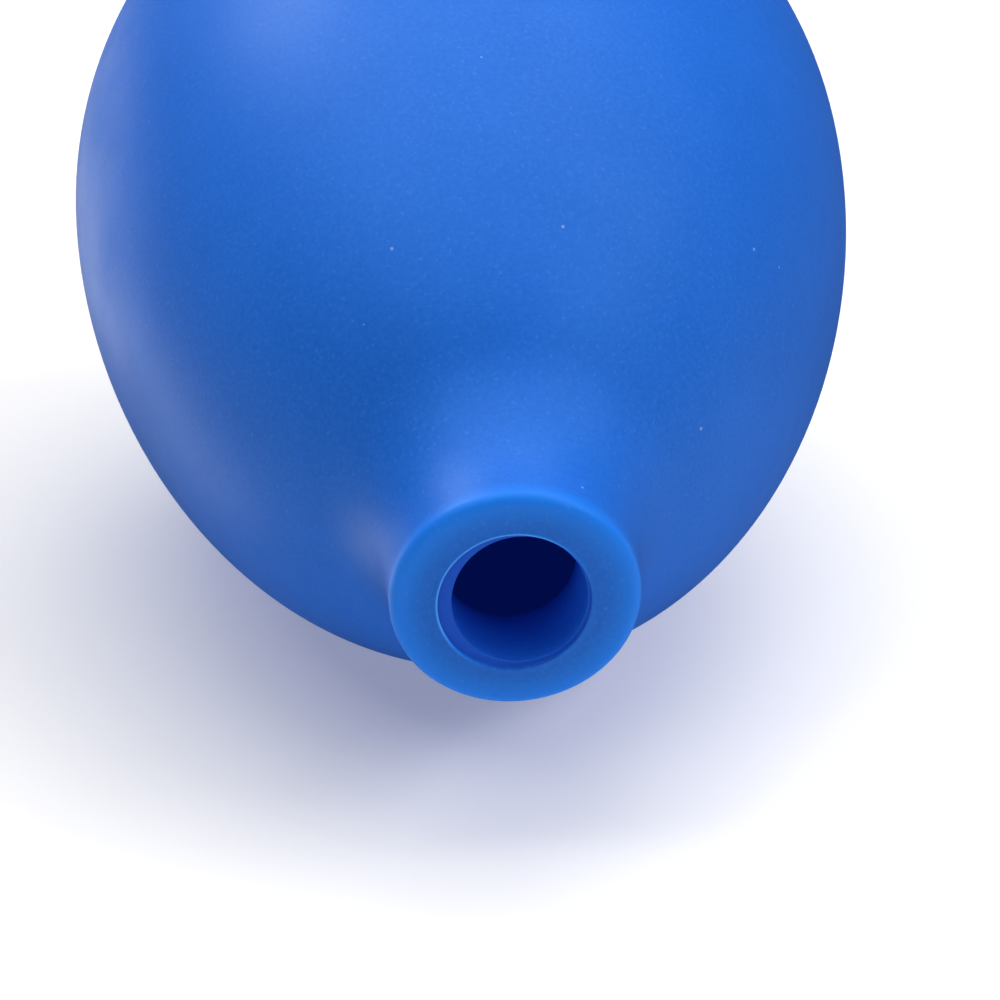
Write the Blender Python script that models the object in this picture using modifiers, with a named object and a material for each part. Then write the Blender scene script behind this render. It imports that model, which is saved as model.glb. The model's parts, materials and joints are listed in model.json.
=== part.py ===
"""Case opening friction ball: a hollow egg-shaped rubber bulb with a short open neck.

It lies on its side with the neck towards -Y, at the tilt where it balances on its belly.
The bulb is one moulding, so its nodes are the zones of one wall that give against each
other: the crown that is pushed on to a watch case, two grip walls, and the bending neck.
"""

from math import asin, atan2, cos, hypot, pi, sin, sqrt

import bpy
import bmesh
from mathutils import Matrix, Vector

# Driving sizes, in metres. "Along" is measured on the bulb's axis from its widest ring,
# positive towards the neck.
BELLY_RADIUS = 0.030
FRONT_LENGTH = 0.048
FRONT_FULLNESS = 1.87
CROWN_LENGTH = 0.036
WALL = 0.0024

NECK_RADIUS = 0.0087
NECK_PROJECTION = 0.0097
NECK_FILLET = 0.0130
RIM_ROUND = 0.0005

BORE_RADIUS = 0.0047
BORE_LENGTH = 0.0058
LIP_STEP = 0.0006
LIP_DEPTH = 0.0007
POCKET_STEP = 0.0015
POCKET_CHAMFER = 0.0010
FUNNEL_LENGTH = 0.0085

HINGE_RING_STEP = 0.0063
HINGE_DEPTH = 0.0050
CROWN_RING_RADIUS = 0.0150
GRIP_CENTRE = 0.0030
GRIP_HALF_LENGTH = 0.0190
GRIP_HALF_HEIGHT = 0.0160
GRIP_MARGIN = 0.0040

GAP = 0.0003
STEPS = 40
GRIP_CUTTER_SIDES = 32
BELLY_OUTER_POINTS = 17
BELLY_INNER_POINTS = 12
CUTTER_REACH = 0.010
MERGE = 0.00002

# Sizes that follow from them.
HALF_STEP = pi / STEPS
QUARTER = pi / 2
LIP_RADIUS = BORE_RADIUS + LIP_STEP
HINGE_RING_RADIUS = NECK_RADIUS + HINGE_RING_STEP
SHOULDER_START = GRIP_CENTRE + GRIP_HALF_LENGTH + GRIP_MARGIN

RUBBER_BLUE = (0.027, 0.125, 0.480, 1.0)
MOUTH_BLUE = (0.012, 0.135, 0.560, 1.0)


def solve(value_at, target, low, high):
    """The place between low and high where a falling or rising value meets the target."""
    rising = value_at(high) > value_at(low)
    for _ in range(60):
        middle = (low + high) / 2
        if (value_at(middle) < target) == rising:
            low = middle
        else:
            high = middle
    return (low + high) / 2


def wall_point(angle, depth=0.0):
    """A point (along, radius) of the egg, or of the hollow when depth is the wall."""
    radius = (BELLY_RADIUS - depth) * cos(angle)
    if angle < 0:
        return -(CROWN_LENGTH - depth) * sin(-angle), radius
    return (FRONT_LENGTH - depth) * sin(angle) ** (2 / FRONT_FULLNESS), radius


def front_normal(angle):
    """The outward direction (along, radius) of the egg's front at an angle."""
    step = 0.0005
    along_a, radius_a = wall_point(angle - step)
    along_b, radius_b = wall_point(angle + step)
    length = hypot(along_b - along_a, radius_b - radius_a)
    return (radius_a - radius_b) / length, (along_b - along_a) / length


def fillet_centre_radius(angle):
    """How far from the axis a neck fillet's centre is when it touches the egg at an angle."""
    return wall_point(angle)[1] + NECK_FILLET * front_normal(angle)[1]


FILLET_ANGLE = solve(fillet_centre_radius, NECK_RADIUS + NECK_FILLET, pi / 6, QUARTER - 0.01)
FILLET_TOUCH = wall_point(FILLET_ANGLE)
FILLET_NORMAL = front_normal(FILLET_ANGLE)
FILLET_ALONG = FILLET_TOUCH[0] + NECK_FILLET * FILLET_NORMAL[0]

NECK_MEETS_EGG = wall_point(asin(sqrt(1 - (NECK_RADIUS / BELLY_RADIUS) ** 2)))[0]
NECK_END = NECK_MEETS_EGG + NECK_PROJECTION
BORE_START = NECK_END - BORE_LENGTH
FUNNEL_START = BORE_START - FUNNEL_LENGTH


def angle_at_radius(radius, depth, low, high):
    return solve(lambda angle: wall_point(angle, depth)[1], radius, low, high)


def angle_at_along(along, depth=0.0):
    return solve(lambda angle: wall_point(angle, depth)[0], along, 0.0, QUARTER)


HINGE_RING_ANGLE = angle_at_radius(HINGE_RING_RADIUS, 0.0, 0.0, QUARTER)
NECK_PIVOT = wall_point(HINGE_RING_ANGLE)[0] - HINGE_DEPTH
HINGE_BALL = hypot(HINGE_RING_RADIUS, HINGE_DEPTH)


def angle_on_ball(ball_radius, depth):
    """Where the wall crosses a ball round the neck's pivot, ahead of the pivot."""
    first = angle_at_along(NECK_PIVOT, depth)

    def distance(angle):
        along, radius = wall_point(angle, depth)
        return hypot(along - NECK_PIVOT, radius)

    return solve(distance, ball_radius, first, angle_at_along(FUNNEL_START, WALL))


def spread(first, last, count):
    return [first + (last - first) * i / (count - 1) for i in range(count)]


def wall_run(first, last, count, depth=0.0):
    """Points of the wall's outer or inner side from one angle to another."""
    return [wall_point(angle, depth) for angle in spread(first, last, count)]


def arc(centre, radius, first, last, count):
    """Points round a centre; the angle is measured from the axis towards the outside."""
    return [
        (centre[0] + radius * cos(angle), centre[1] + radius * sin(angle))
        for angle in spread(first, last, count)
    ]


def ball_face(ball_radius, outer, inner):
    """The cut face from the outer side to the inner side on a ball round the pivot."""
    first = atan2(outer[1], outer[0] - NECK_PIVOT)
    last = atan2(inner[1], inner[0] - NECK_PIVOT)
    return arc((NECK_PIVOT, 0.0), ball_radius, first, last, 5)[1:-1]


def crown_outline():
    """The crown: a cap that ends in a short cylinder, so that it can slide straight in."""
    ring = CROWN_RING_RADIUS - GAP / 2
    inner = wall_run(-QUARTER, angle_at_radius(ring, WALL, -QUARTER, 0.0), 7, WALL)
    outer = wall_run(angle_at_radius(ring, 0.0, -QUARTER, 0.0), -QUARTER, 7)
    inner[0] = (inner[0][0], 0.0)
    outer[-1] = (outer[-1][0], 0.0)
    return inner + outer


def belly_outline():
    ring = CROWN_RING_RADIUS + GAP / 2
    front = SHOULDER_START - GAP / 2
    outer_back = angle_at_radius(ring, 0.0, -QUARTER, 0.0)
    inner_back = angle_at_radius(ring, WALL, -QUARTER, 0.0)
    outer = wall_run(angle_at_along(front), outer_back, BELLY_OUTER_POINTS)
    inner = wall_run(inner_back, angle_at_along(front, WALL), BELLY_INNER_POINTS, WALL)
    return outer + inner


def shoulder_outline():
    back = SHOULDER_START + GAP / 2
    ball = HINGE_BALL + GAP / 2
    outer = wall_run(angle_on_ball(ball, 0.0), angle_at_along(back), 6)
    inner = wall_run(angle_at_along(back, WALL), angle_on_ball(ball, WALL), 6, WALL)
    return outer + inner + ball_face(ball, outer[0], inner[-1])[::-1]


def flare(front, back, count):
    """The outside of the neck between two places: straight at first, then on the fillet."""
    centre = (FILLET_ALONG, NECK_RADIUS + NECK_FILLET)
    angles = [-QUARTER - asin(max(0.0, FILLET_ALONG - along) / NECK_FILLET) for along in (front, back)]
    straight = [(front, NECK_RADIUS)] if front > FILLET_ALONG else []
    return straight + arc(centre, NECK_FILLET, angles[0], angles[1], count)


def neck_outline():
    """The neck's root: a flare outside, and inside the hollow's funnel to the bore's end."""
    ball = HINGE_BALL - GAP / 2
    end = BORE_START - GAP / 2
    outer = flare(end, FILLET_TOUCH[0], 7)
    outer += wall_run(FILLET_ANGLE, angle_on_ball(ball, 0.0), 3)[1:]
    inner = wall_run(angle_on_ball(ball, WALL), angle_at_along(FUNNEL_START, WALL), 4, WALL)
    inner += [(BORE_START - POCKET_CHAMFER, BORE_RADIUS + POCKET_STEP), (end, BORE_RADIUS)]
    return outer + ball_face(ball, outer[-1], inner[0]) + inner


def mouth_ring_outline():
    """The rim: a flat annular end with a rounded outer edge and a shallow lip in the bore."""
    start = BORE_START + GAP / 2
    round_centre = (NECK_END - RIM_ROUND, NECK_RADIUS - RIM_ROUND)
    outer = arc(round_centre, RIM_ROUND, 0.0, QUARTER, 4)
    if start < FILLET_ALONG:
        outer += flare(FILLET_ALONG, start, 3)
    else:
        outer += [(start, NECK_RADIUS)]
    lip_floor = NECK_END - LIP_DEPTH
    inner = [(start, BORE_RADIUS), (lip_floor, BORE_RADIUS), (lip_floor, LIP_RADIUS)]
    return outer + inner + [(NECK_END, LIP_RADIUS)]


def whole_outline():
    """The wall's cross-section with no gaps, used for its balance."""
    outer = wall_run(FILLET_ANGLE, -QUARTER, 40)
    inner = wall_run(-QUARTER, angle_at_along(FUNNEL_START, WALL), 40, WALL)
    pocket = (BORE_START - POCKET_CHAMFER, BORE_RADIUS + POCKET_STEP)
    bore = [(BORE_START, BORE_RADIUS), (NECK_END, BORE_RADIUS)]
    return outer + inner + [pocket] + bore + [(NECK_END, NECK_RADIUS), (FILLET_ALONG, NECK_RADIUS)]


def balance_along():
    """Where the turned wall's centre of mass lies on its axis."""
    points = whole_outline()
    volume = 0.0
    moment = 0.0
    for (along_a, radius_a), (along_b, radius_b) in zip(points, points[1:] + points[:1]):
        run = along_b - along_a
        volume += run * (radius_a**2 + radius_a * radius_b + radius_b**2) / 3
        near = 3 * radius_a**2 + 2 * radius_a * radius_b + radius_b**2
        far = radius_a**2 + 2 * radius_a * radius_b + 3 * radius_b**2
        moment += run * (along_a * near + along_b * far) / 12
    return moment / volume


def resting_facet():
    """The belly's facet nearest to the centre of mass, which is the one that it lies on."""
    balance = balance_along()
    outside = belly_outline()[:BELLY_OUTER_POINTS]
    pairs = list(zip(outside, outside[1:]))

    def distance(pair):
        (along_a, radius_a), (along_b, radius_b) = pair
        run = along_b - along_a
        rise = radius_b - radius_a
        return abs((balance - along_a) * rise + radius_a * run) / hypot(run, rise)

    return min(pairs, key=distance)


def resting_place():
    """The tilt that lays the resting facet flat, and the axis's place over the origin."""
    front, back = resting_facet()
    tilt = atan2((back[1] - front[1]) * cos(HALF_STEP), front[0] - back[0])
    outline = belly_outline() + mouth_ring_outline() + crown_outline()
    lows = [-along * cos(tilt) - radius * cos(HALF_STEP) * sin(tilt) for along, radius in outline]
    highs = [-along * cos(tilt) + radius * cos(HALF_STEP) * sin(tilt) for along, radius in outline]
    height = front[0] * sin(tilt) + front[1] * cos(HALF_STEP) * cos(tilt)
    return tilt, Vector((0.0, -(min(lows) + max(highs)) / 2, height))


def clear_scene():
    for thing in list(bpy.data.objects):
        bpy.data.objects.remove(thing, do_unlink=True)


def new_collection(name):
    collection = bpy.data.collections.new(name)
    bpy.context.scene.collection.children.link(collection)
    return collection


def rubber(name, colour, roughness):
    material = bpy.data.materials.new(name)
    material.use_nodes = True
    shader = material.node_tree.nodes["Principled BSDF"]
    shader.inputs["Base Color"].default_value = colour
    shader.inputs["Roughness"].default_value = roughness
    shader.inputs["Metallic"].default_value = 0.0
    material.diffuse_color = colour
    return material


def add_empty(name, parent, location, tilt=0.0):
    empty = bpy.data.objects.new(name, None)
    empty.empty_display_size = 0.01
    empty.parent = parent
    empty.location = location
    empty.rotation_euler = (tilt, 0.0, 0.0)
    parts.objects.link(empty)
    return empty


def turned(name, outline, origin, parent, material, closed=True):
    """A zone of the bulb turned about its axis, with its own origin on that axis."""
    mesh = bpy.data.meshes.new(name)
    outline_mesh = bmesh.new()
    verts = [outline_mesh.verts.new((radius, 0.0, along - origin)) for along, radius in outline]
    following = verts[1:] + verts[:1] if closed else verts[1:]
    for first, second in zip(verts, following):
        outline_mesh.edges.new((first, second))
    outline_mesh.to_mesh(mesh)
    outline_mesh.free()
    piece = bpy.data.objects.new(name, mesh)
    parts.objects.link(piece)
    piece.parent = parent
    piece.rotation_euler = (0.0, 0.0, HALF_STEP)
    piece.data.materials.append(material)
    screw = piece.modifiers.new("turn", "SCREW")
    screw.axis = "Z"
    screw.angle = 2 * pi
    screw.steps = STEPS
    screw.render_steps = STEPS
    screw.use_merge_vertices = True
    screw.merge_threshold = MERGE
    screw.use_smooth_shade = True
    return piece


def cut(piece, cutter, operation):
    boolean = piece.modifiers.new(operation.lower(), "BOOLEAN")
    boolean.operation = operation
    boolean.solver = "EXACT"
    boolean.object = cutter


def grip_cutter(name, side, extra):
    """An upright oval prism from the axis out through one side of the belly."""
    reach = BELLY_RADIUS + CUTTER_REACH
    bpy.ops.mesh.primitive_cylinder_add(vertices=GRIP_CUTTER_SIDES, radius=1.0, depth=reach)
    cutter = bpy.context.object
    for collection in list(cutter.users_collection):
        collection.objects.unlink(cutter)
    cutters.objects.link(cutter)
    cutter.name = name
    oval = Matrix.Diagonal((GRIP_HALF_LENGTH + extra, GRIP_HALF_HEIGHT + extra, 1.0, 1.0))
    cutter.data.transform(Matrix.Rotation(QUARTER, 4, "Y") @ oval)
    cutter.parent = bulb_axis
    cutter.location = (side * reach / 2, 0.0, GRIP_CENTRE)
    cutter.hide_render = True
    cutter.display_type = "WIRE"
    return cutter


def make_belly():
    """The waist of the egg, with an oval window on each side for its grip wall."""
    belly = turned("belly", belly_outline(), 0.0, bulb_axis, rubber("belly_rubber", RUBBER_BLUE, 0.42))
    for side, word in ((-1, "left"), (1, "right")):
        cut(belly, grip_cutter("window_" + word, side, GAP / 2), "DIFFERENCE")


def make_grip_wall(side, word):
    """The oval of side wall that a finger pushes straight in."""
    name = "grip_wall_" + word
    material = rubber(name + "_rubber", RUBBER_BLUE, 0.42)
    wall = turned(name, belly_outline(), 0.0, bulb_axis, material)
    cut(wall, grip_cutter("press_" + word, side, -GAP / 2), "INTERSECT")


def make_shoulder():
    turned("shoulder", shoulder_outline(), 0.0, bulb_axis, rubber("shoulder_rubber", RUBBER_BLUE, 0.42))


def make_crown():
    material = rubber("crown_rubber", RUBBER_BLUE, 0.42)
    turned("crown", crown_outline(), 0.0, bulb_axis, material, closed=False)


def make_neck():
    """The root of the neck and its rim, on the pivot that they bend about."""
    pivot = add_empty("neck_pivot", bulb_axis, (0.0, 0.0, NECK_PIVOT))
    turned("neck", neck_outline(), NECK_PIVOT, pivot, rubber("neck_rubber", RUBBER_BLUE, 0.40))
    material = rubber("mouth_rubber", MOUTH_BLUE, 0.36)
    turned("mouth_ring", mouth_ring_outline(), NECK_PIVOT, pivot, material)


clear_scene()
parts = new_collection("case_opening_friction_ball")
cutters = new_collection("cutters")
rest_tilt, axis_place = resting_place()
bulb_axis = add_empty("bulb_axis", None, axis_place, QUARTER + rest_tilt)
make_belly()
make_grip_wall(-1, "left")
make_grip_wall(1, "right")
make_shoulder()
make_crown()
make_neck()
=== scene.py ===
import json
from math import asin, atan2, cos, exp, hypot, pi, radians, sin, sqrt

import bmesh
import bpy
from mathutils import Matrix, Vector


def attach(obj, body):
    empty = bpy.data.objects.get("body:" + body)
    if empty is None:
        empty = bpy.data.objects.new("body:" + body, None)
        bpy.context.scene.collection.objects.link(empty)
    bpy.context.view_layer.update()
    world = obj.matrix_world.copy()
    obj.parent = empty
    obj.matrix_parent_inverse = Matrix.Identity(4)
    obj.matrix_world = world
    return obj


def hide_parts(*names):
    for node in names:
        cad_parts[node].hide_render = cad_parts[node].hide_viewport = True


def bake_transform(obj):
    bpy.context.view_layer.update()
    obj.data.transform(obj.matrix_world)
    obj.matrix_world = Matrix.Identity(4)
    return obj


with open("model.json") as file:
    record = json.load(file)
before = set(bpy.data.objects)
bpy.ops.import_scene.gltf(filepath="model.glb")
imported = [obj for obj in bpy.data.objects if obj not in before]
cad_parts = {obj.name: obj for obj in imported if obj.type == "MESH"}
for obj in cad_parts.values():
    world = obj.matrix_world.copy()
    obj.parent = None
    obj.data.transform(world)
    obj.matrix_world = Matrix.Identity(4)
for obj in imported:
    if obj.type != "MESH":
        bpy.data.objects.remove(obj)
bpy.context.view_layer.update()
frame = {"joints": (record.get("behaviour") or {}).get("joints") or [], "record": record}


# ------------------------------------------------------------------ the moulded wall
# The whole tool is one hollow moulding of blue silicone rubber: an egg, a wide flare, a short
# thick neck and an open mouth. The core pin of the mould stood a little off the middle, so
# the bore is eccentric inside its lip. The wall is worked out once and then shared out.

BELLY_RADIUS = 0.030
FRONT_LENGTH = 0.048
FRONT_FULLNESS = 1.87
CROWN_LENGTH = 0.036
WALL = 0.0024
NECK_RADIUS = 0.0087
NECK_PROJECTION = 0.0097
NECK_FILLET = 0.0130
RIM_ROUND = 0.0008
LIP_RADIUS = 0.0053
LIP_DEPTH = 0.00035
LIP_EDGE = 0.00008
LIP_BEAD = 0.00006
LIP_BEAD_WIDTH = 0.0003
LIP_SHIFT = -0.0001
LIP_TALLNESS = 1.05
BORE_RADIUS = 0.0047
BORE_LENGTH = 0.0058
BORE_EDGE = 0.00012
BORE_END_ROUND = 0.00025
BORE_SHIFT = 0.0003
BORE_TALLNESS = 1.10
CORE_LEAN = 0.0004
POCKET_STEP = 0.0015
POCKET_CHAMFER = 0.0010
FUNNEL_LENGTH = 0.0085
LIE_SOFTNESS = 0.00015
ROUND_STEPS = 192

QUARTER = pi / 2
mounts = {mount["name"]: mount for mount in frame["record"]["mounts"]}
joints = {joint["name"]: joint for joint in frame["joints"]}
mouth_way = Vector(mounts["rim_face"]["axis"]).normalized()
side_way = Vector((1.0, 0.0, 0.0))
top_way = mouth_way.cross(side_way)
neck_pivot = Vector(joints["neck_bend"]["pos_m"])
rim_point = Vector(mounts["rim_face"]["pos_m"])
rim_centre = neck_pivot + mouth_way * (rim_point - neck_pivot).dot(mouth_way)
neck_share = sqrt(1 - (NECK_RADIUS / BELLY_RADIUS) ** 2)
mouth_along = FRONT_LENGTH * neck_share ** (2 / FRONT_FULLNESS) + NECK_PROJECTION
egg_centre = rim_centre - mouth_way * mouth_along
bore_end = mouth_along - BORE_LENGTH
funnel_start = bore_end - FUNNEL_LENGTH


def spread(first, last, count):
    return [first + (last - first) * i / (count - 1) for i in range(count)]


def smooth(value):
    value = min(max(value, 0.0), 1.0)
    return value * value * (3 - 2 * value)


def egg_point(angle, depth=0.0):
    """(along, radius) on the egg's outside, or on the hollow's when depth is the wall."""
    radius = (BELLY_RADIUS - depth) * cos(angle)
    if angle < 0:
        return (CROWN_LENGTH - depth) * sin(angle), radius
    return (FRONT_LENGTH - depth) * sin(angle) ** (2 / FRONT_FULLNESS), radius


def egg_normal(angle):
    along_a, radius_a = egg_point(angle - 0.0005)
    along_b, radius_b = egg_point(angle + 0.0005)
    length = hypot(along_b - along_a, radius_b - radius_a)
    return (radius_a - radius_b) / length, (along_b - along_a) / length


def arc(centre, radius, first, last, count):
    return [
        (centre[0] + radius * cos(angle), centre[1] + radius * sin(angle))
        for angle in spread(first, last, count)
    ]


def fillet_gap(angle):
    """How far a fillet that touches the egg at this angle is from also touching the neck."""
    return egg_point(angle)[1] + NECK_FILLET * (egg_normal(angle)[1] - 1) - NECK_RADIUS


low, high = pi / 6, QUARTER - 0.01
for halving in range(50):
    fillet_angle = (low + high) / 2
    if fillet_gap(fillet_angle) > 0:
        low = fillet_angle
    else:
        high = fillet_angle
touch_normal = egg_normal(fillet_angle)
fillet_centre = (
    egg_point(fillet_angle)[0] + NECK_FILLET * touch_normal[0],
    NECK_RADIUS + NECK_FILLET,
)
fillet_first = atan2(-touch_normal[1], -touch_normal[0])
hollow_end = asin(sqrt((funnel_start / (FRONT_LENGTH - WALL)) ** FRONT_FULLNESS))

# The outline runs from the crown's outside, over the belly, the neck and the rim, and back
# through the bore and the funnel to the crown's inside.
outline = [egg_point(angle) for angle in spread(-QUARTER, fillet_angle, 116)]
outline += arc(fillet_centre, NECK_FILLET, fillet_first, -QUARTER, 18)[1:]
neck_straight = spread(fillet_centre[0], mouth_along - RIM_ROUND, 6)[1:-1]
outline += [(along, NECK_RADIUS) for along in neck_straight]
rim_corner = (mouth_along - RIM_ROUND, NECK_RADIUS - RIM_ROUND)
outline += arc(rim_corner, RIM_ROUND, QUARTER, 0.0, 9)
rim_inner = LIP_RADIUS + LIP_EDGE
rim_first = len(outline)
rim_radii = spread(rim_corner[1], rim_inner + LIP_BEAD_WIDTH, 12)[1:]
outline += [(mouth_along, radius) for radius in rim_radii]
outline += [(mouth_along + LIP_BEAD * 0.7, rim_inner + 0.00014)]
outline += arc((mouth_along + LIP_BEAD - LIP_EDGE, rim_inner), LIP_EDGE, 0.0, -QUARTER, 4)
lip_floor = mouth_along - LIP_DEPTH
outline += [(lip_floor + LIP_EDGE, LIP_RADIUS)]
bore_first = len(outline)
bore_corner = (lip_floor - BORE_EDGE, BORE_RADIUS + BORE_EDGE)
outline += arc(bore_corner, BORE_EDGE, 0.0, -QUARTER, 7)
bore_run = spread(lip_floor - BORE_EDGE, bore_end + BORE_END_ROUND, 12)[1:-1]
outline += [(along, BORE_RADIUS) for along in bore_run]
bore_end_corner = (bore_end + BORE_END_ROUND, BORE_RADIUS + BORE_END_ROUND)
outline += arc(bore_end_corner, BORE_END_ROUND, -QUARTER, -pi, 5)
pocket = (bore_end - POCKET_CHAMFER, BORE_RADIUS + POCKET_STEP)
funnel_foot = egg_point(hollow_end, WALL)
for share in spread(0.0, 1.0, 11)[:-1]:
    along = pocket[0] + (funnel_foot[0] - pocket[0]) * share
    outline.append((along, pocket[1] + (funnel_foot[1] - pocket[1]) * share))
outline += [egg_point(angle, WALL) for angle in spread(hollow_end, -QUARTER, 64)]


def ring_points(number):
    """A ring of the wall. The lip and the bore are oval, and lean with the mould's core pin."""
    along, radius = outline[number]
    shift, tall = 0.0, 1.0
    if rim_first <= number < bore_first:
        share = min((rim_corner[1] - radius) / (rim_corner[1] - rim_inner), 1.0)
        shift, tall = LIP_SHIFT * share, 1 + (LIP_TALLNESS - 1) * share
    elif number >= bore_first:
        lean = smooth((along - funnel_start) / (mouth_along - funnel_start))
        deep = smooth((mouth_along - along) / BORE_LENGTH) * lean
        shift, tall = BORE_SHIFT * lean - CORE_LEAN * deep, 1 + (BORE_TALLNESS - 1) * lean
    for step in range(ROUND_STEPS):
        turn = 2 * pi * (step + 0.5) / ROUND_STEPS
        across = radius * cos(turn) + shift
        upwards = radius * tall * sin(turn)
        point = egg_centre + mouth_way * along + side_way * across + top_way * upwards
        if point.z < LIE_SOFTNESS:
            point.z = LIE_SOFTNESS * exp((point.z - LIE_SOFTNESS) / LIE_SOFTNESS)
        yield point


wall = bmesh.new()
rings = []
for number in range(1, len(outline) - 1):
    rings.append([wall.verts.new(point) for point in ring_points(number)])
outer_pole = wall.verts.new(egg_centre + mouth_way * outline[0][0])
inner_pole = wall.verts.new(egg_centre + mouth_way * outline[-1][0])
for ring, following in zip(rings, rings[1:]):
    for step in range(ROUND_STEPS):
        other = (step + 1) % ROUND_STEPS
        wall.faces.new((ring[step], ring[other], following[other], following[step]))
for step in range(ROUND_STEPS):
    other = (step + 1) % ROUND_STEPS
    wall.faces.new((outer_pole, rings[0][other], rings[0][step]))
    wall.faces.new((inner_pole, rings[-1][step], rings[-1][other]))
bmesh.ops.recalc_face_normals(wall, faces=wall.faces[:])

# The planes where one zone of the rubber hands over to the next.
CROWN_PLANE = -0.027
GRIP_PLANE = 0.020
NECK_PLANE = 0.038
WELD = 2e-6
crown_plane = (egg_centre + mouth_way * CROWN_PLANE, mouth_way)
neck_plane = (egg_centre + mouth_way * NECK_PLANE, mouth_way)
mouth_plane = (egg_centre + mouth_way * bore_end, mouth_way)
left_plane = (egg_centre - side_way * GRIP_PLANE, side_way)
right_plane = (egg_centre + side_way * GRIP_PLANE, side_way)
planes = [crown_plane, neck_plane, mouth_plane, left_plane, right_plane]
for place, normal in planes:
    everything = wall.verts[:] + wall.edges[:] + wall.faces[:]
    bmesh.ops.bisect_plane(wall, geom=everything, dist=WELD, plane_co=place, plane_no=normal)
wall.normal_update()
wall.verts.ensure_lookup_table()
wall.verts.index_update()


def along_of(point):
    return (point - egg_centre).dot(mouth_way)


def radius_of(point):
    across = point - egg_centre
    return (across - mouth_way * across.dot(mouth_way)).length


def zone_of(face):
    middle = face.calc_center_median()
    along = along_of(middle)
    if along < CROWN_PLANE:
        return "crown"
    if along > bore_end:
        return "mouth_ring"
    if along > NECK_PLANE:
        return "neck"
    if abs(middle.x) > GRIP_PLANE:
        return "left_wall" if middle.x < 0 else "right_wall"
    return "belly"


zone_faces = {}
for face in wall.faces:
    zone_faces.setdefault(zone_of(face), []).append(face)


# Painted glow: the rim's outer edge is painted paler, for light coming through the rubber.
PALE_FROM = 0.0059
PALE_WIDTH = 0.0028
PALE_DEPTH = 0.0022
# Strength of the painted highlight on the lip's edge.
LIP_HIGHLIGHT = 2.0


def edge_light(point):
    """How much painted light the rubber carries: 1 at the rim's outer edge, a painted glow for
    light coming through the rubber, and up to the lip highlight's strength in the lip, a painted
    highlight that is brightest at the upper left."""
    along, radius = along_of(point), radius_of(point)
    across = (point - egg_centre).dot(side_way) - LIP_SHIFT
    upwards = (point - egg_centre).dot(top_way) / LIP_TALLNESS
    if along > mouth_along - LIP_DEPTH * 0.4 and hypot(across, upwards) < rim_inner + 0.00005:
        # Painted highlight on the lip's edge, brightest at the upper left.
        return LIP_HIGHLIGHT * smooth(0.55 + 0.53 * (upwards - across) / radius)
    outward = smooth((radius - PALE_FROM) / PALE_WIDTH)
    forward = smooth((along - mouth_along + PALE_DEPTH) / PALE_DEPTH)
    return outward * forward


LIP_REACH = 0.0065
LIP_FLOOR_SHADE = 0.85
BORE_SHADE = 0.30


def inside(point):
    """Painted shade, darker inside: 1 in the hollow and the funnel, less in the bore and on the
    lip's floor, and 0 on the rim and outside.
    """
    along, radius = along_of(point), radius_of(point)
    if along > bore_end - POCKET_CHAMFER:
        depth = mouth_along - along
        if radius > LIP_REACH or depth < LIP_DEPTH * 0.7:
            return 0.0
        if depth < LIP_DEPTH + BORE_EDGE / 6:
            return LIP_FLOOR_SHADE
        return BORE_SHADE + (1 - BORE_SHADE) * smooth(depth / BORE_LENGTH) ** 2
    length, power = (FRONT_LENGTH, FRONT_FULLNESS) if along > 0 else (CROWN_LENGTH, 2.0)
    outside = BELLY_RADIUS * sqrt(max(0.0, 1 - (abs(along) / length) ** power))
    outside = max(outside, NECK_RADIUS) if along > NECK_PLANE else outside
    return float(radius < outside - WALL / 3 and abs(along) < length - WALL / 3)


def on_plane(edge, place, normal):
    return all(abs((vert.co - place).dot(normal)) < WELD * 1.5 for vert in edge.verts)


def wall_piece(name, zone):
    """One zone of the wall as a closed piece, shaded as part of the whole skin."""
    faces = zone_faces[zone]
    shape = bmesh.new()
    copies = {}
    normals = []
    for face in faces:
        for vert in face.verts:
            if vert.index not in copies:
                copies[vert.index] = shape.verts.new(vert.co)
                normals.append(vert.normal.copy())
    for face in faces:
        shape.faces.new([copies[vert.index] for vert in face.verts])
    shape.verts.index_update()
    skin_faces = len(shape.faces)
    for place, normal in planes:
        rim = [e for e in shape.edges if e.is_boundary and on_plane(e, place, normal)]
        if rim:
            bmesh.ops.triangle_fill(shape, use_beauty=True, edges=rim, normal=normal)
    bmesh.ops.recalc_face_normals(shape, faces=shape.faces[:])
    mesh = bpy.data.meshes.new(name)
    shape.to_mesh(mesh)
    shape.free()
    mesh.polygons.foreach_set("use_smooth", [True] * len(mesh.polygons))
    corner_normals = []
    for polygon in mesh.polygons:
        for index in polygon.vertices:
            on_skin = polygon.index < skin_faces
            corner_normals.append(normals[index] if on_skin else polygon.normal.copy())
    mesh.normals_split_custom_set(corner_normals)
    lit = mesh.attributes.new("edge_light", "FLOAT", "POINT")
    lit.data.foreach_set("value", [edge_light(vert.co) for vert in mesh.vertices])
    inner = mesh.attributes.new("inside", "FLOAT", "POINT")
    inner.data.foreach_set("value", [inside(vert.co) for vert in mesh.vertices])
    piece = bpy.data.objects.new(name, mesh)
    bpy.context.scene.collection.objects.link(piece)
    mesh.materials.append(blue_silicone)
    return piece


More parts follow.
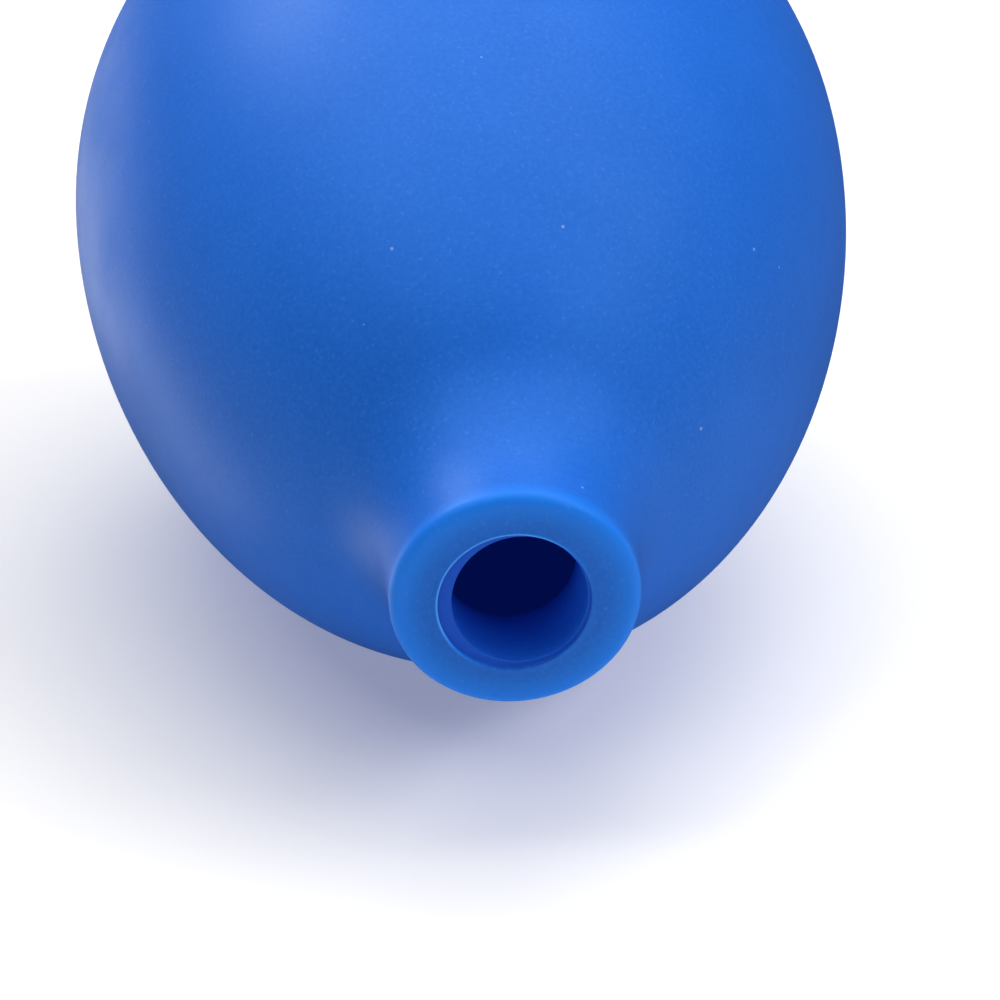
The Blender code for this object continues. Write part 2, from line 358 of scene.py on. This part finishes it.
class Feed:
    """An output socket of a shader node. Its operators add Math nodes to the same tree."""

    def __init__(self, tree, socket=None):
        self.tree = tree
        self.socket = socket

    def node(self, kind, settings, sockets, output=0):
        made = self.tree.nodes.new("ShaderNode" + kind)
        for setting, value in settings.items():
            setattr(made, setting, value)
        for socket, value in sockets.items():
            if isinstance(value, Feed):
                self.tree.links.new(value.socket, made.inputs[socket])
            else:
                made.inputs[socket].default_value = value
        return Feed(self.tree, made.outputs[output])

    def math(self, operation, *values):
        return self.node("Math", {"operation": operation}, dict(enumerate(values)))

    def __add__(self, other):
        return self.math("ADD", self, other)

    def __sub__(self, other):
        return self.math("SUBTRACT", self, other)

    def __rsub__(self, other):
        return self.math("SUBTRACT", other, self)

    def __mul__(self, other):
        return self.math("MULTIPLY", self, other)

    def __lt__(self, other):
        return self.math("LESS_THAN", self, other)

    def __gt__(self, other):
        return self.math("GREATER_THAN", self, other)

    __radd__ = __add__
    __rmul__ = __mul__

    def tint(self, low, high):
        """A colour from low to high by this value."""
        sockets = {0: self, 6: low, 7: high}
        return self.node("Mix", {"data_type": "RGBA"}, sockets, output=2)

    def between(self, first, last):
        """0 to 1 as this value goes from first to last, with soft ends."""
        settings = {"interpolation_type": "SMOOTHSTEP"}
        sockets = {0: self, 1: first, 2: last, 3: 0.0, 4: 1.0}
        return self.node("MapRange", settings, sockets)


def new_material(name):
    material = bpy.data.materials.new(name)
    material.use_nodes = True
    return material, material.node_tree.nodes["Principled BSDF"]


def noise(feed, place, scale, detail, roughness=0.5):
    sockets = {"Vector": place, "Scale": scale, "Detail": detail, "Roughness": roughness}
    return feed.node("TexNoise", {}, sockets)


PIGMENT_DARK = (0.0095, 0.121, 0.575, 1)
PIGMENT_LIGHT = (0.0155, 0.149, 0.680, 1)
RIM_GLOW_COLOUR = (0.012, 0.205, 0.880, 1)
# Colour of the painted highlight on the lip's edge.
LIP_HIGHLIGHT_COLOUR = (0.090, 0.360, 0.950, 1)
# Painted shade colour for the hollow, the bore and the lip's floor.
HOLLOW_SHADE_COLOUR = (0.005, 0.060, 0.480, 1)
BLOOM_COLOUR = (0.16, 0.36, 0.80, 1)
DUST_COLOUR = (0.30, 0.48, 0.85, 1)
# Painted glow colours for the hollow and the bore.
NO_GLOW = (0, 0, 0, 1)
HOLLOW_GLOW = (0.0003, 0.0030, 0.0300, 1)
BORE_GLOW = (0.0006, 0.0090, 0.0850, 1)


def silicone():
    """Satin blue silicone: cloudy pigment, a fine grain, handling marks and a little dust.
    Painted
    light too: a glow on the rim's edge, a highlight on the lip, shade in the hollow and the bore,
    and a faint glow inside.
    """
    material, shader = new_material("blue_silicone")
    feed = Feed(material.node_tree)
    place = feed.node("TexCoord", {}, {}, output=3)
    clouds = noise(feed, place, 42.0, 3.0)
    handling = noise(feed, place, 95.0, 5.0, 0.6)
    grain = noise(feed, place, 3000.0, 2.0)
    pits = noise(feed, place, 900.0, 4.0, 0.7)
    speckle = noise(feed, place, 3400.0, 1.0)

    fine = clouds.between(0.35, 0.65) * 0.5 + grain.between(0.30, 0.70) * 0.5
    pigment = fine.tint(PIGMENT_DARK, PIGMENT_LIGHT)
    lit = feed.node("Attribute", {"attribute_name": "edge_light"}, {}, output=2)
    # Painted glow on the rim's outer edge and a painted highlight on the lip.
    painted_edge_light = lit.between(1.2, LIP_HIGHLIGHT).tint(lit.tint(pigment, RIM_GLOW_COLOUR), LIP_HIGHLIGHT_COLOUR)
    inner = feed.node("Attribute", {"attribute_name": "inside"}, {}, output=2)
    # Painted shade: the inside is painted darker.
    deep = inner.tint(painted_edge_light, HOLLOW_SHADE_COLOUR)

    cells = {"Vector": place, "Scale": 420.0, "Randomness": 1.0}
    reach = feed.node("TexVoronoi", {"feature": "F1"}, cells, output=0)
    cell_colour = feed.node("TexVoronoi", {"feature": "F1"}, cells, output=1)
    chance = feed.node("SeparateColor", {}, {0: cell_colour}, output=0)
    size = feed.node("SeparateColor", {}, {0: cell_colour}, output=1)
    dust = (reach < size * 0.055 + 0.010) * (chance > 0.84) * (1 - inner)
    bloom = speckle.between(0.62, 0.76) * 0.13 * (1 - inner)
    dusty = (dust * 0.55).tint(bloom.tint(deep, BLOOM_COLOUR), DUST_COLOUR)
    rough = 0.42 + handling.between(0.35, 0.70) * 0.09 + grain * 0.04 + dust * 0.3
    height = grain * 0.6 + pits * 0.4 + dust * 0.8
    relief = feed.node("Bump", {}, {"Strength": 0.16, "Distance": 0.00006, "Height": height})
    # Painted glow: faint blue light given off in the hollow, most in the bore.
    half_deep = inner * (1 - inner) * 4.0
    through = half_deep.tint(inner.tint(NO_GLOW, HOLLOW_GLOW), BORE_GLOW)
    feed.tree.links.new(dusty.socket, shader.inputs["Base Color"])
    feed.tree.links.new(rough.socket, shader.inputs["Roughness"])
    feed.tree.links.new(relief.socket, shader.inputs["Normal"])
    feed.tree.links.new(through.socket, shader.inputs["Emission Color"])
    shader.inputs["Emission Strength"].default_value = 1.0
    shader.inputs["IOR"].default_value = 1.40
    shader.inputs["Specular IOR Level"].default_value = 0.40
    shader.inputs["Specular Tint"].default_value = (0.40, 0.75, 1.0, 1)
    return material


blue_silicone = silicone()


# ------------------------------------------------------------------ belly and shoulder
# The waist of the egg and the wall that narrows towards the neck, plain and full, which the
# palm holds. It carries every other zone, and it flattens a little where it lies.

belly = wall_piece("belly_and_shoulder", "belly")
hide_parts("belly", "shoulder")
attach(belly, "bulb")


# ------------------------------------------------------------------ grip walls
# The sides of the egg under the thumb and under the fingers. They are the same sheet of
# rubber as the belly, and give inwards when the bulb is gripped; here they are drawn at rest.

grips = []
for word, sign in (("left", -1), ("right", 1)):
    grip = wall_piece("grip_wall_" + word + "_skin", word + "_wall")
    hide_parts("grip_wall_" + word)
    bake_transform(grip)
    grips.append(grip)


# ------------------------------------------------------------------ crown
# The closed round end that is pushed on a watch's case back. It flattens and grips, and
# it springs back when the bulb is lifted off; here it is drawn at rest.

crown = wall_piece("crown_skin", "crown")
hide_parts("crown")
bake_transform(crown)


# ------------------------------------------------------------------ neck
# The short thick root of the neck, which flares widely into the egg outside and narrows as
# a funnel inside. It bends between the shoulder and the mouth; here it is drawn unbent.

NECK_BEND_LENGTH = 0.009
neck = wall_piece("neck_skin", "neck")
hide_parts("neck")
bend_start = egg_centre + mouth_way * NECK_PLANE
bend_start + mouth_way * NECK_BEND_LENGTH
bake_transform(neck)


# ------------------------------------------------------------------ mouth ring
# The end of the neck: a flat ring with a rounded outer edge, a shallow lip with a fine raised
# bead, and the open bore. Its outer edge carries a painted glow for light coming through the
# rubber, the lip's upper left edge a painted highlight, and the bore painted shade and glow.

mouth = wall_piece("mouth_ring_skin", "mouth_ring")
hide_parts("mouth_ring")
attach(mouth, "neck")
wall.free()


# ------------------------------------------------------------------ table and light
# A matt white table under three softboxes: overhead, in front and at the right. A fill at the
# left and two low glows, for the light that a white table throws back, draw a pale line down
# the bulb's left edge. The camera looks down on the mouth from in front.

FLOOR_HALF = 3.0
floor_mesh = bpy.data.meshes.new("white_table")
floor_shape = bmesh.new()
bmesh.ops.create_grid(floor_shape, x_segments=1, y_segments=1, size=FLOOR_HALF)
floor_shape.to_mesh(floor_mesh)
floor_shape.free()
floor = bpy.data.objects.new("white_table", floor_mesh)
bpy.context.scene.collection.objects.link(floor)
floor_material, floor_shader = new_material("white_card")
floor_shader.inputs["Base Color"].default_value = (0.92, 0.91, 0.89, 1)
floor_shader.inputs["Roughness"].default_value = 0.75
floor_shader.inputs["Emission Color"].default_value = (1.0, 0.97, 0.92, 1)
floor_shader.inputs["Emission Strength"].default_value = 0.25
floor.visible_glossy = False
floor_mesh.materials.append(floor_material)

bulb_pieces = bpy.data.collections.new("bulb_pieces")
for piece in (belly, *grips, crown, neck, mouth):
    bulb_pieces.objects.link(piece)


def soft_light(name, place, width, height, watts, lights_table=True):
    """A softbox turned to the egg. Without lights_table it lights only the bulb, so it adds no
    second shadow."""
    light = bpy.data.lights.new(name, "AREA")
    light.shape = "RECTANGLE"
    light.size = width
    light.size_y = height
    light.energy = watts
    lamp = bpy.data.objects.new(name, light)
    lamp.location = place
    lamp.rotation_euler = (egg_centre - Vector(place)).to_track_quat("-Z", "Y").to_euler()
    bpy.context.scene.collection.objects.link(lamp)
    if not lights_table:
        lamp.light_linking.receiver_collection = bulb_pieces
        lamp.light_linking.blocker_collection = bulb_pieces


soft_light("overhead_softbox", (0.10, 0.06, 0.62), 0.70, 0.70, 3.6)
soft_light("front_softbox", (-0.275, -0.159, 0.539), 0.28, 0.28, 0.85)
soft_light("right_softbox", (0.420, -0.190, 0.416), 0.50, 0.16, 1.20)
soft_light("left_fill", (-0.287, 0.342, 0.43), 0.25, 0.25, 1.35, lights_table=False)
soft_light("table_glow", (-0.196, 0.280, -0.043), 0.16, 0.16, 0.145, lights_table=False)
soft_light("low_table_glow", (-0.268, 0.155, -0.134), 0.16, 0.16, 0.13, lights_table=False)

world = bpy.data.worlds.new("pale_room")
world.use_nodes = True
world.node_tree.nodes["Background"].inputs["Color"].default_value = (1.0, 1.0, 1.0, 1)
world.node_tree.nodes["Background"].inputs["Strength"].default_value = 0.055
bpy.context.scene.world = world
bpy.context.scene.view_settings.view_transform = "Standard"

CAMERA_AZIMUTH = radians(-4.5)
CAMERA_ELEVATION = radians(24.5)
CAMERA_DISTANCE = 0.360
AIM_RIGHT = 0.0032
AIM_DOWN = 0.0234
camera_data = bpy.data.cameras.new("camera")
camera_data.sensor_width = 36.0
camera_data.lens = 165.0
camera = bpy.data.objects.new("camera", camera_data)
bpy.context.scene.collection.objects.link(camera)
right = Vector((cos(CAMERA_AZIMUTH), sin(CAMERA_AZIMUTH), 0.0))
level = Vector((-sin(CAMERA_AZIMUTH), cos(CAMERA_AZIMUTH), 0.0))
forward = level * cos(CAMERA_ELEVATION) - Vector((0, 0, 1)) * sin(CAMERA_ELEVATION)
upward = right.cross(forward)
aim = egg_centre + right * AIM_RIGHT - upward * AIM_DOWN
camera.location = aim - forward * CAMERA_DISTANCE
camera.rotation_euler = forward.to_track_quat("-Z", "Y").to_euler()
bpy.context.scene.camera = camera
